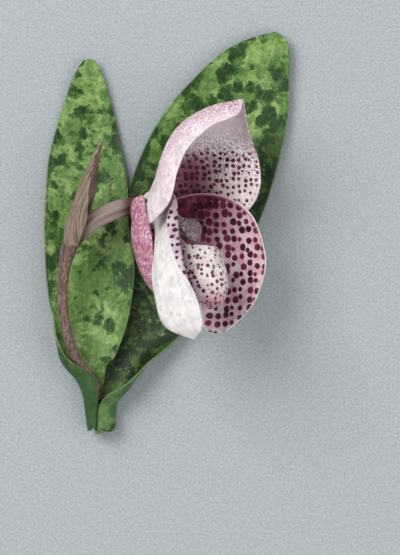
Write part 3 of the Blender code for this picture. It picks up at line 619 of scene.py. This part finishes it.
def leaf_look(name, leaf, back=None):
    """Leaf skin: pale green with dark blotches, fine veins, a thin pale margin and patches of painted
    shade; backs have a tint.
    """
    look = Look(name, 0.55)
    look.shader.inputs["Specular IOR Level"].default_value = 0.3
    size = look.uv("size")
    spot = look.place()
    across, along = look.shares()
    push = look.wobble(look.wobble(spot, 4.2, 0.35), 1.4, 1.3)
    level = look.plus(look.ramp(along, leaf["dark"]), look.ramp(across, leaf["sides"]))
    cluster = look.step(look.noise(spot, 0.12, 2.0, 0.5), 0.38, 0.6)
    level = look.times(level, look.plus(0.45, cluster))
    big = look.dots(push, 4.6, look.times(level, 3.9), 0.14)
    small = look.dots(look.scaled(push, 1.0, 1.0, 0.9), 2.3, look.times(level, 1.6), 0.1)
    core = look.dots(push, 4.6, look.times(level, 3.0), 0.4)
    wash = look.noise(spot, 0.8, 5.0, 0.7)
    tone = look.step(wash, 0.35, 0.65)
    flow = look.step(look.noise(push, 0.14, 3.0, 0.5), 0.42, 0.6)
    light = look.mix(tone, rgb(116, 148, 76), rgb(150, 176, 106))
    shadow = look.mix(tone, rgb(76, 110, 46), rgb(110, 142, 70))
    look.colour = look.mix(flow, shadow, light)
    patch = look.step(look.noise(push, 0.3), 0.52, 0.57)
    look.paint(patch, 0.6, look.mix(tone, rgb(58, 98, 38), rgb(84, 124, 54)))
    mid = look.mix(tone, rgb(30, 66, 16), rgb(62, 100, 34))
    dark = look.mix(tone, rgb(8, 32, 4), rgb(30, 66, 16))
    blotch = look.math("MAXIMUM", big, look.times(small, 0.85))
    look.paint(blotch, 0.9, mid)
    look.paint(core, 0.85, dark)
    veins = look.noise(look.scaled(size, 1.9, 0.05), 1.0, 2.0, 0.5)
    look.paint(look.step(veins, 0.5, 0.7), 0.1, rgb(160, 184, 128))
    # Painted shade: dark olive green over the lower part of each leaf and along the right leaf's right
    # margin, broken up by noise.
    margin_shade = look.times(look.ramp(along, leaf["margin_shade"]), look.step(across, 0.7, 0.85))
    painted_shade = look.plus(look.ramp(along, leaf["shade"]), margin_shade, clamp=True)
    painted_shade = look.times(painted_shade, look.step(wash, 0.76, 0.5), clamp=True)
    shade_green = look.mix(look.step(look.noise(spot, 0.3), 0.48, 0.66), rgb(14, 42, 16), rgb(66, 92, 34))
    look.cover(painted_shade, shade_green)
    if back:
        look.cover(back[0], look.mix(wash, back[1], back[2]))
    margin = look.math("ABSOLUTE", look.math("SUBTRACT", across, 0.5))
    line = look.math("SUBTRACT", look.step(margin, 0.455, 0.488), look.step(margin, 0.488, 0.495))
    look.paint(line, 0.35, rgb(36, 70, 30))
    look.paint(look.step(margin, 0.492, 0.499), 0.5, rgb(134, 158, 108))
    height = look.plus(look.times(veins, 0.6), look.times(wash, 0.4))
    return look.finish(height, 0.0003, 0.5)


def scape_look():
    """Purple-brown stem with fine streaks."""
    look = Look("scape_skin", 0.62)
    spot = look.place()
    streak = look.noise(look.scaled(spot, 2.2, 0.35, 2.2), 1.0)
    fine = look.noise(spot, 4.0, 3.0, 0.6)
    look.ground(streak, rgb(66, 44, 42), rgb(140, 112, 100), 0.35, 0.65)
    look.paint(look.step(fine, 0.5, 0.72), 0.5, rgb(170, 146, 134))
    return look.finish(fine, 0.00015, 0.6)


def ovary_look():
    """Ovary skin: grey-brown, paler along its middle and dark at both ends."""
    look = Look("ovary_skin", 0.62)
    spot = look.place()
    x = look.split(spot)[0]
    fine = look.noise(spot, 3.2, 4.0, 0.62)
    middle = look.times(look.step(x, *OVARY_PALE_FOOT), look.step(x, *OVARY_PALE_HEAD))
    look.colour = look.mix(fine, rgb(60, 34, 30), rgb(112, 76, 60))
    pale = look.mix(fine, rgb(140, 122, 112), rgb(196, 182, 170))
    look.paint(middle, 0.75, pale)
    return look.finish(fine, 0.00015, 0.6)


def bract_look():
    """Papery grey-brown bract with reddish streaks along it."""
    look = Look("bract_skin", 0.6)
    size = look.uv("size")
    along = look.shares()[1]
    streak = look.noise(look.scaled(look.wobble(size, 0.5, 0.5), 2.4, 0.12), 1.0)
    fine = look.noise(size, 2.6, 3.0, 0.6)
    look.ground(streak, rgb(92, 72, 60), rgb(158, 142, 124), 0.36, 0.64)
    amount = look.ramp(along, [(0, 0.5), (0.5, 0.3), (1, 0.7)])
    look.paint(look.step(fine, 0.5, 0.7), amount, rgb(124, 66, 62))
    return look.finish(streak, 0.0003, 0.6)


def stippled_look(name, ground, light, stroke, along_amount, across_amount):
    """The outside of a sepal: a pale ground stippled with crimson, and a few grey spots."""
    look = Look(name, 0.55)
    across, along = look.shares()
    spot = look.place()
    soft = look.noise(spot, 0.45)
    look.ground(soft, ground, light, 0.35, 0.65)
    fine = look.dots(look.wobble(spot, 0.3, 1.2), 0.72, 0.25, 0.08)
    strokes = look.noise(look.scaled(look.wobble(spot, 0.8, 0.8), 1.7, 0.9, 1.7), 1.0, 4.0, 0.75)
    mark = look.math("MAXIMUM", look.times(fine, 0.85), look.step(strokes, 0.47, 0.57))
    level = look.times(look.ramp(along, along_amount), look.ramp(across, across_amount))
    level = look.times(level, look.plus(0.5, soft))
    look.cover(look.times(mark, level, clamp=True), stroke)
    grey = look.dots(look.wobble(spot, 0.5, 0.9), 1.7, 0.34, 0.14)
    look.paint(grey, 0.4, rgb(122, 100, 122))
    return look.finish(soft)


def dorsal_inside_look():
    """The dorsal sepal's inside: a flush and maroon spots low down, fine specks higher, a pale tip."""
    look = Look("dorsal_inside", 0.5)
    across = look.shares()[0]
    spot = look.place()
    x, y, _ = look.split(spot)
    soft = look.noise(spot, 0.35)
    look.ground(soft, rgb(228, 212, 214), rgb(248, 238, 234))
    y = look.plus(y, look.times(soft, 3.0))
    side = look.ramp(across, [(0, 1), (0.5, 1), (0.7, 0.8), (0.86, 0.55), (0.97, 0.3), (1, 0)])
    low = look.step(y, *DORSAL_SPOTS)
    strength = look.times(side, low)
    radius = look.times(look.plus(0.5, look.times(strength, 0.5)), 0.72)
    spots = look.dots(look.plan(look.wobble(spot, 0.4, 0.5)), 1.8, radius, 0.1, 0.55, "2D")
    tone = look.step(look.noise(spot, 0.9, 3.0, 0.6), 0.35, 0.65)
    wine = look.mix(tone, rgb(62, 12, 32), rgb(118, 40, 68))
    flush = look.times(low, look.step(x, *DORSAL_FLUSH))
    look.paint(flush, 0.9, look.mix(soft, rgb(92, 16, 44), rgb(166, 78, 106)))
    # Painted shade: a faint grey tint over the half from the left margin to the midrib, fading out past it.
    grey = look.ramp(across, [(0, 1), (0.5, 0.9), (0.66, 0)])
    look.paint(grey, 0.25, rgb(150, 116, 134))
    fine = look.dots(look.wobble(spot, 0.3, 1.0), 0.85, 0.25, 0.08, 0.9, "2D")
    band = look.plus(0.15, look.times(look.step(y, *DORSAL_SPECKS_LOW), 0.65))
    band = look.times(look.step(y, *DORSAL_SPECKS), band)
    look.paint(fine, band, rgb(136, 92, 108))
    present = look.step(strength, 0.02, 0.2)
    look.paint(spots, present, wine)
    return look.finish(soft)


def petal_inside_look(name, spacing, radius, base_ramp, ground, light):
    """A petal's inside: big round maroon spots that run together towards the base."""
    look = Look(name, 0.48)
    across, along = look.shares()
    spot = look.place()
    soft = look.noise(spot, 0.35)
    look.ground(soft, ground, light, 0.35, 0.65)
    base = look.ramp(along, base_ramp)
    tone = look.step(look.noise(spot, 0.45, 2.0, 0.5), 0.35, 0.65)
    wine = look.mix(tone, rgb(44, 8, 26), rgb(112, 30, 58))
    reach = look.times(radius, look.plus(0.92, look.times(base, 0.45)))
    spots = look.dots(look.plan(look.wobble(spot, 0.5, 0.35)), spacing, reach, 0.12, 0.5, "2D")
    patchy = look.times(base, look.plus(0.55, look.times(soft, 0.9)), clamp=True)
    look.cover(patchy, look.mix(soft, rgb(92, 22, 48), rgb(150, 66, 92)))
    look.cover(spots, wine)
    look.paint(look.step(across, 0.03, 0.0), 0.7, rgb(200, 140, 160))
    return look.finish(soft)


def petal_outside_look():
    """A petal's outside: white with faint grey marks."""
    look = Look("petal_outside", 0.5)
    size = look.uv("size")
    spot = look.place()
    soft = look.noise(spot, 0.3)
    look.ground(soft, rgb(222, 214, 214), rgb(248, 242, 236))
    marks = look.dots(look.wobble(spot, 0.9, 0.6), 2.3, 0.6, 0.25, 0.95)
    look.paint(marks, look.times(soft, 0.5), rgb(120, 120, 134))
    streaks = look.step(look.noise(look.scaled(size, 1.6, 0.1), 1.0, 3.0, 0.6), 0.56, 0.7)
    look.paint(streaks, 0.22, rgb(170, 160, 172))
    return look.finish(soft)


def lip_look():
    """The pouch: waxy cream with small dark purple dots, pinker at the toe, painted shade on its left side.
    """
    look = Look("lip_skin", 0.36)
    spot = look.place()
    down = look.shares()[1]
    soft = look.noise(spot, 0.3, 3.0, 0.5)
    look.ground(soft, rgb(218, 202, 204), rgb(242, 234, 224))
    toe = look.step(down, 0.5, 0.15)
    look.paint(toe, 0.85, rgb(200, 132, 148))
    streaks = look.step(look.noise(look.scaled(spot, 1.4, 0.5, 1.4), 1.0, 3.0, 0.6), 0.5, 0.66)
    look.paint(look.times(streaks, toe), 0.5, rgb(172, 92, 116))
    # Painted shade: a blue-grey tint down the pouch's left side.
    side = look.step(look.split(spot)[0], *POUCH_SHADE)
    look.paint(side, 0.5, rgb(138, 130, 158))
    dots = look.dots(look.wobble(spot, 0.25, 0.8), 1.3, 0.5, 0.09, 0.85)
    look.cover(dots, look.mix(soft, rgb(72, 18, 44), rgb(124, 52, 76)))
    return look.finish(soft, 0.0002, 0.3)


def plain_look(name, dark, light, scale, roughness):
    """A lightly mottled skin."""
    look = Look(name, roughness)
    soft = look.noise(look.place(), scale, 4.0, 0.65)
    look.ground(soft, dark, light)
    return look.finish(soft, 0.0002, 0.6)


def staminode_look():
    """The staminode: grey with fine dark stipple."""
    look = Look("staminode_skin", 0.6)
    spot = look.place()
    soft = look.noise(spot, 0.7)
    look.ground(soft, rgb(116, 98, 104), rgb(172, 154, 156))
    dots = look.dots(spot, 0.62, 0.24, 0.08)
    look.paint(dots, 0.85, rgb(76, 52, 66))
    return look.finish(look.plus(soft, dots), 0.0003, 0.6)


def stem_path(stations, count):
    """Evenly spread points and radii along a stem."""
    table = np.array(stations, float)
    gaps = np.linalg.norm(np.diff(table[:, :3], axis=0), axis=1)
    share = np.concatenate([[0], np.cumsum(gaps)]) / gaps.sum()
    return through(np.column_stack([share, table]), np.linspace(0, 1, count))


def stem_frame(path):
    """Two unit vectors across a stem at each of its points."""
    along = unit(np.gradient(path[:, :3], axis=0))
    across = np.empty_like(along)
    side = np.array([0, 0, 1])
    for k, way in enumerate(along):
        side = unit(side - (side @ way) * way)
        across[k] = side
    return across, np.cross(along, across)


def stem_piece(name, stations, grid, material, section=None):
    """A stem with closed ends, and its path and cross axes; section gives the radius factor around it."""
    count, sides = grid
    path = stem_path(stations, count)
    first, second = stem_frame(path)
    angle = np.linspace(0, math.tau, sides, endpoint=False)
    factor = section(angle) if section else np.ones_like(angle)
    ring = np.cos(angle)[None, :, None] * first[:, None] + np.sin(angle)[None, :, None] * second[:, None]
    radius = (path[:, 3][:, None] * factor[None, :])[..., None]
    points = (path[:, None, :3] + radius * ring).reshape(-1, 3)
    points = np.vstack([points, path[0, :3], path[-1, :3]])
    index = np.arange(count * sides).reshape(count, sides)
    right = np.roll(index, -1, axis=1)
    faces = np.stack([index[:-1], index[1:], right[1:], right[:-1]], axis=-1).reshape(-1, 4).tolist()
    start, end = count * sides, count * sides + 1
    faces += [[start, int(a), int(b)] for a, b in zip(index[0], right[0])]
    faces += [[end, int(b), int(a)] for a, b in zip(index[-1], right[-1])]
    return piece(name, points, faces, [material]), (path, first, second)


def hairs_piece(name, stem, hairs, material, rng):
    """Short fine hairs that stand off a stem."""
    path, first, second = stem
    count, length = hairs
    points = []
    faces = []
    for _ in range(count):
        at = rng.uniform(1, len(path) - 2)
        k = int(at)
        centre = path[k] * (1 - at + k) + path[k + 1] * (at - k)
        angle = rng.uniform(0, math.tau)
        out = math.cos(angle) * first[k] + math.sin(angle) * second[k]
        way = unit(out + rng.normal(0, HAIR_LEAN, 3))
        root = centre[:3] + out * centre[3] * HAIR_ROOT
        side = unit(np.cross(way, rng.normal(0, 1, 3)))
        other = np.cross(way, side)
        tip = root + way * length * rng.uniform(0.6, 1.1)
        base = len(points)
        for turn in (0, math.tau / 3, 2 * math.tau / 3):
            points.append(root + HAIR_HALF_WIDTH * (math.cos(turn) * side + math.sin(turn) * other))
        points.append(tip)
        for corners in HAIR_FACES:
            faces.append([base + corner for corner in corners])
    return piece(name, np.array(points), faces, [material])


def closed_grid_faces(rows, sides):
    """Faces of a grid that closes on itself around its columns."""
    index = np.arange((rows + 1) * sides).reshape(rows + 1, sides)
    right = np.roll(index, -1, axis=1)
    return np.stack([index[:-1], right[:-1], right[1:], index[1:]], axis=-1).reshape(-1, 4).tolist()


def weld(obj):
    """Weld points that coincide and turn the faces outwards."""
    mesh = bmesh.new()
    mesh.from_mesh(obj.data)
    bmesh.ops.remove_doubles(mesh, verts=mesh.verts, dist=WELD_REACH)
    bmesh.ops.recalc_face_normals(mesh, faces=mesh.faces)
    mesh.to_mesh(obj.data)
    mesh.free()
    return obj


def pouch_point(down, around, inset=0.0):
    """A point of the pouch wall: down is 0 at the toe and 1 at the rim."""
    toe = unit(np.array(POUCH_TOE_WAY, float))
    angle = down * np.radians(POUCH_RIM_ANGLE - POUCH_RIM_SLANT * np.sin(around))
    ways = (toe, NEAR_SIDE, np.array([-toe[1], toe[0], 0.0]))
    shares = (np.cos(angle), np.sin(angle) * np.cos(around), np.sin(angle) * np.sin(around))
    point = np.array(POUCH_CENTRE)
    for way, length, share in zip(ways, POUCH_SIZES, shares):
        point = point + (length - inset) * share[..., None] * way
    return in_flower(point)


def pouch_piece(material):
    """The pouch as a thin wall with a rounded, turned-in rim."""
    rows, sides = POUCH_GRID
    share = np.linspace(0, 1, rows + 1)
    around = np.linspace(0, math.tau, sides, endpoint=False)
    d, a = np.meshgrid(share, around, indexing="ij")
    rim = pouch_point(np.full((1, sides), POUCH_RIM_OVERSHOOT), around[None, :], POUCH_WALL / 2)
    wall = np.concatenate([pouch_point(d, a), rim, pouch_point(d[::-1], a[::-1], POUCH_WALL)])
    obj = piece("lip_pouch", wall.reshape(-1, 3), closed_grid_faces(2 * rows + 2, sides), [material])
    turns, depth = np.meshgrid(around / (math.tau), np.concatenate([share, [1.0], share[::-1]]))
    add_uv(obj.data, "share", np.stack([turns.ravel(), depth.ravel()], axis=1))
    return weld(obj)


def body_piece(name, at, sizes, grid, material, turn=np.eye(3), lobe=0.0, furrow=0.0):
    """A rounded body in flower axes; lobe gives it three lobes and furrow sinks it between them."""
    down = np.linspace(0, math.pi, grid[0] + 1)
    around = np.linspace(0, math.tau, grid[1], endpoint=False)
    down, around = np.meshgrid(down, around, indexing="ij")
    wave = np.cos(3 * around + math.pi / 2)
    out = np.sin(down) * (1 + lobe * wave)
    height = -np.cos(down) * (1 - furrow * np.sin(down) * (1 - wave) / 2)
    local = np.stack([out * np.cos(around), out * np.sin(around), height], axis=-1) * sizes
    points = in_flower(at + local @ turn).reshape(-1, 3)
    return weld(piece(name, points, closed_grid_faces(*grid), [material]))


def leaf_relief(t, v):
    """A shallow keel groove and gentle waves along the margins."""
    groove = GROOVE_DEPTH * np.exp(-(v / GROOVE_REACH) ** 2)
    groove = groove * clipped((t - 0.2) / 0.2) * clipped((1 - t) / 0.1)
    wave = LEAF_WAVE * np.abs(v) ** 3 * np.sin(t * WAVE_RATE + np.sign(v) * WAVE_SHIFT)
    return wave * clipped((t - 0.32) / 0.2) * clipped((1 - t) / 0.2) - groove


def tepal_relief(amount):
    """Soft ripples that grow towards the margins, and faint ribs along the veins."""
    def relief(t, v):
        ripple = amount * np.abs(v) ** 4 * np.sin(t * RIPPLE_RATE + v * 2)
        ripple = ripple * clipped(t / 0.3) * clipped((1 - t) / 0.15)
        return ripple + RIB_HEIGHT * np.cos(v * RIB_RATE) * clipped(t / 0.2) * clipped((1 - t) / 0.2)
    return relief


def add_leaves():
    """Both leaves."""
    leaves = (
        ("leaf_left", LEFT_KEEL, LEFT_FACE, LEFT_HALF_WIDTHS, LEFT_CURL, LEFT_CUT, LEFT_LOOK, LEFT_BACK),
        ("leaf_right", RIGHT_KEEL, RIGHT_FACE, RIGHT_HALF_WIDTHS, RIGHT_CURL, RIGHT_CUT, RIGHT_LOOK,
         RIGHT_BACK),
    )
    for node, keel, face, widths, curl, cut, skin, back in leaves:
        def surface(t, v):
            start = through(cut, v)[..., 0]
            return blade_surface(keel, face, widths, curl, start + (1 - start) * t, v)
        looks = [leaf_look(node + "_back", skin, back), leaf_look(node + "_skin", skin)]
        blade = sheet_piece(node + "_blade", surface, LEAF_GRID, LEAF_THICKNESS, looks, leaf_relief, True)
        dress(blade, node)


def add_stems(rng):
    """The shoot, scape, ovary and bract, with their hairs."""
    skin = plain_look("shoot_skin", rgb(96, 118, 60), rgb(150, 168, 104), 1.5, 0.6)
    shoot, _ = stem_piece("shoot_core", SHOOT, SHOOT_GRID, skin)
    dress(shoot, "shoot_base")
    fuzz = plain_look("stem_hair", rgb(150, 120, 116), rgb(196, 172, 166), 2.0, 0.7)
    scape, stem = stem_piece("scape_stem", SCAPE, SCAPE_GRID, scape_look())
    dress(scape, "scape")
    dress(hairs_piece("scape_hairs", stem, SCAPE_HAIRS, fuzz, rng))

    def ribs(angle):
        return 1 + OVARY_RIB_DEPTH * np.cos(OVARY_RIBS * angle)
    end = [(*in_flower((forward, 0, 0)), radius) for forward, radius in OVARY_END]
    ovary, stem = stem_piece("ovary_ribs", OVARY + end, OVARY_GRID, ovary_look(), ribs)
    dress(ovary, "ovary")
    dress(hairs_piece("ovary_hairs", stem, OVARY_HAIRS, fuzz, rng))

    def surface(t, v):
        return blade_surface(BRACT_KEEL, BRACT_FACE, BRACT_HALF_WIDTHS, BRACT_CURL, t, v)
    bract = sheet_piece("bract_boat", surface, BRACT_GRID, BRACT_THICKNESS, [bract_look()] * 2,
                        tepal_relief(BRACT_RIPPLE))
    dress(bract, "bract")


def add_tepals():
    """The two sepals and the two petals."""
    # The dorsal sepal's strokes grow denser across it and thin out towards its left margin; the pale strip
    # this leaves there is a painted highlight.
    pink = stippled_look("dorsal_outside", rgb(226, 206, 212), rgb(246, 236, 238), rgb(176, 84, 112),
                         [(0, 0.2), (0.25, 0.35), (0.6, 0.9), (1, 1)],
                         [(0, 0.2), (0.07, 0.35), (0.22, 1), (1, 1)])
    rose = stippled_look("synsepal_outside", rgb(186, 124, 146), rgb(226, 188, 200), rgb(152, 62, 92),
                         [(0, 0.9), (1, 0.9)], [(0, 1), (1, 1)])
    white = petal_outside_look()
    inner = dorsal_inside_look()
    far = petal_inside_look("petal_far_inside", 2.35, 0.9,
                            [(0, 1), (0.3, 1), (0.44, 0.6), (0.58, 0.12), (1, 0)],
                            rgb(214, 166, 180), rgb(238, 216, 220))
    near = petal_inside_look("petal_near_inside", 1.9, 0.6, [(0, 0.6), (0.3, 0.15), (1, 0)],
                             rgb(206, 180, 192), rgb(232, 216, 222))
    back = petal_inside_look("synsepal_inside", 2.4, 0.7, [(0, 0.5), (0.5, 0.1), (1, 0)],
                             rgb(206, 170, 182), rgb(228, 206, 212))
    tepals = (
        ("dorsal_sepal", DORSAL, inner, pink, "sepal", TEPAL_RIPPLE),
        ("synsepal", SYNSEPAL, back, rose, "sepal", SYNSEPAL_RIPPLE),
        ("petal_near", PETAL_NEAR, near, white, "petal", TEPAL_RIPPLE),
        ("petal_far", PETAL_FAR, far, white, "petal", TEPAL_RIPPLE),
    )
    for node, sheet, inside, outside, slot, ripple in tepals:
        looks = [outside, inside, outside]
        tepal = sheet_piece(node + "_sheet", functools.partial(tepal_surface, sheet), TEPAL_GRID,
                            TEPAL_THICKNESS, looks, tepal_relief(ripple))
        dress(tepal, node)


def add_lip_and_column():
    """The pouch with its claw, the column, and the staminode in front of it."""
    cream = lip_look()
    dress(pouch_piece(cream), "lip")
    surface = functools.partial(tepal_surface, CLAW)
    dress(sheet_piece("lip_claw", surface, CLAW_GRID, TEPAL_THICKNESS, [cream] * 2))
    waxy = plain_look("column_skin", rgb(176, 140, 148), rgb(222, 200, 202), 0.8, 0.45)
    rail = [(*in_flower(station[:3]), station[3]) for station in COLUMN]
    column, _ = stem_piece("column_body", rail, COLUMN_GRID, waxy)
    dress(column, "column")
    forward, up, side = ANTHER_AT
    pollen = plain_look("anther_skin", rgb(196, 170, 110), rgb(232, 214, 160), 1.5, 0.5)
    for name, at, sizes, look in (("anther_near", (forward, up, side), (ANTHER_RADIUS,) * 3, pollen),
                                  ("anther_far", (forward, up, -side), (ANTHER_RADIUS,) * 3, pollen),
                                  ("stigma_pad", STIGMA_AT, STIGMA_SIZES, waxy)):
        dress(body_piece(name, at, sizes, BALL_GRID, look))
    slope = unit(np.array(STAMINODE_SLOPE))
    turn = np.array([NEAR_SIDE, slope, np.cross(NEAR_SIDE, slope)])
    shield = body_piece("staminode_lobes", STAMINODE_AT, STAMINODE_SIZES, STAMINODE_GRID, staminode_look(),
                        turn, STAMINODE_LOBE, STAMINODE_FURROW)
    dress(shield, "staminode")


def add_stage():
    """A pale blue-grey floor, soft light from the upper left and a camera that looks straight down."""
    look = Look("paper_floor", 0.9)
    grain = look.noise(look.place(), 1.6, 3.0, 0.8)
    look.ground(grain, FLOOR_DARK, FLOOR_LIGHT)
    paper = look.finish(grain, 0.0001, 0.15)
    corners = np.array([(x, y, -FLOOR_DROP) for x, y in FLOOR_CORNERS])
    piece("floor", corners, [[0, 1, 2, 3]], [paper])
    for name, place, size, power in LIGHTS:
        lamp = bpy.data.lights.new(name, "AREA")
        lamp.shape = "DISK"
        lamp.size = size
        lamp.energy = power
        x, y, z = np.array(LIGHTS_AIM) - np.array(place)
        obj = link(name, lamp)
        obj.location = place
        obj.rotation_euler = (math.atan2(math.hypot(x, y), -z), 0, math.atan2(y, x) - math.pi / 2)
    world = bpy.data.worlds.new("soft_room")
    world.use_nodes = True
    background = world.node_tree.nodes["Background"]
    background.inputs["Color"].default_value = WORLD_COLOUR
    background.inputs["Strength"].default_value = WORLD_STRENGTH
    bpy.context.scene.world = world
    camera = bpy.data.cameras.new("camera")
    camera.sensor_fit = "VERTICAL"
    camera.sensor_height = SENSOR_HEIGHT
    camera.lens = SENSOR_HEIGHT * CAMERA_HEIGHT / (PICTURE_HIGH * PIXEL)
    camera.clip_end = CAMERA_REACH
    view = link("camera", camera)
    right = (PICTURE_WIDE / 2 - AXIS_PIXEL[0]) * PIXEL
    up = (AXIS_PIXEL[1] - PICTURE_HIGH / 2) * PIXEL
    view.location = (right, up, CAMERA_HEIGHT)
    bpy.context.scene.camera = view
    bpy.context.scene.view_settings.view_transform = "Standard"


def main():
    """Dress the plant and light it."""
    rng = np.random.default_rng(RANDOM_SEED)
    add_leaves()
    add_stems(rng)
    add_tepals()
    add_lip_and_column()
    add_stage()


main()
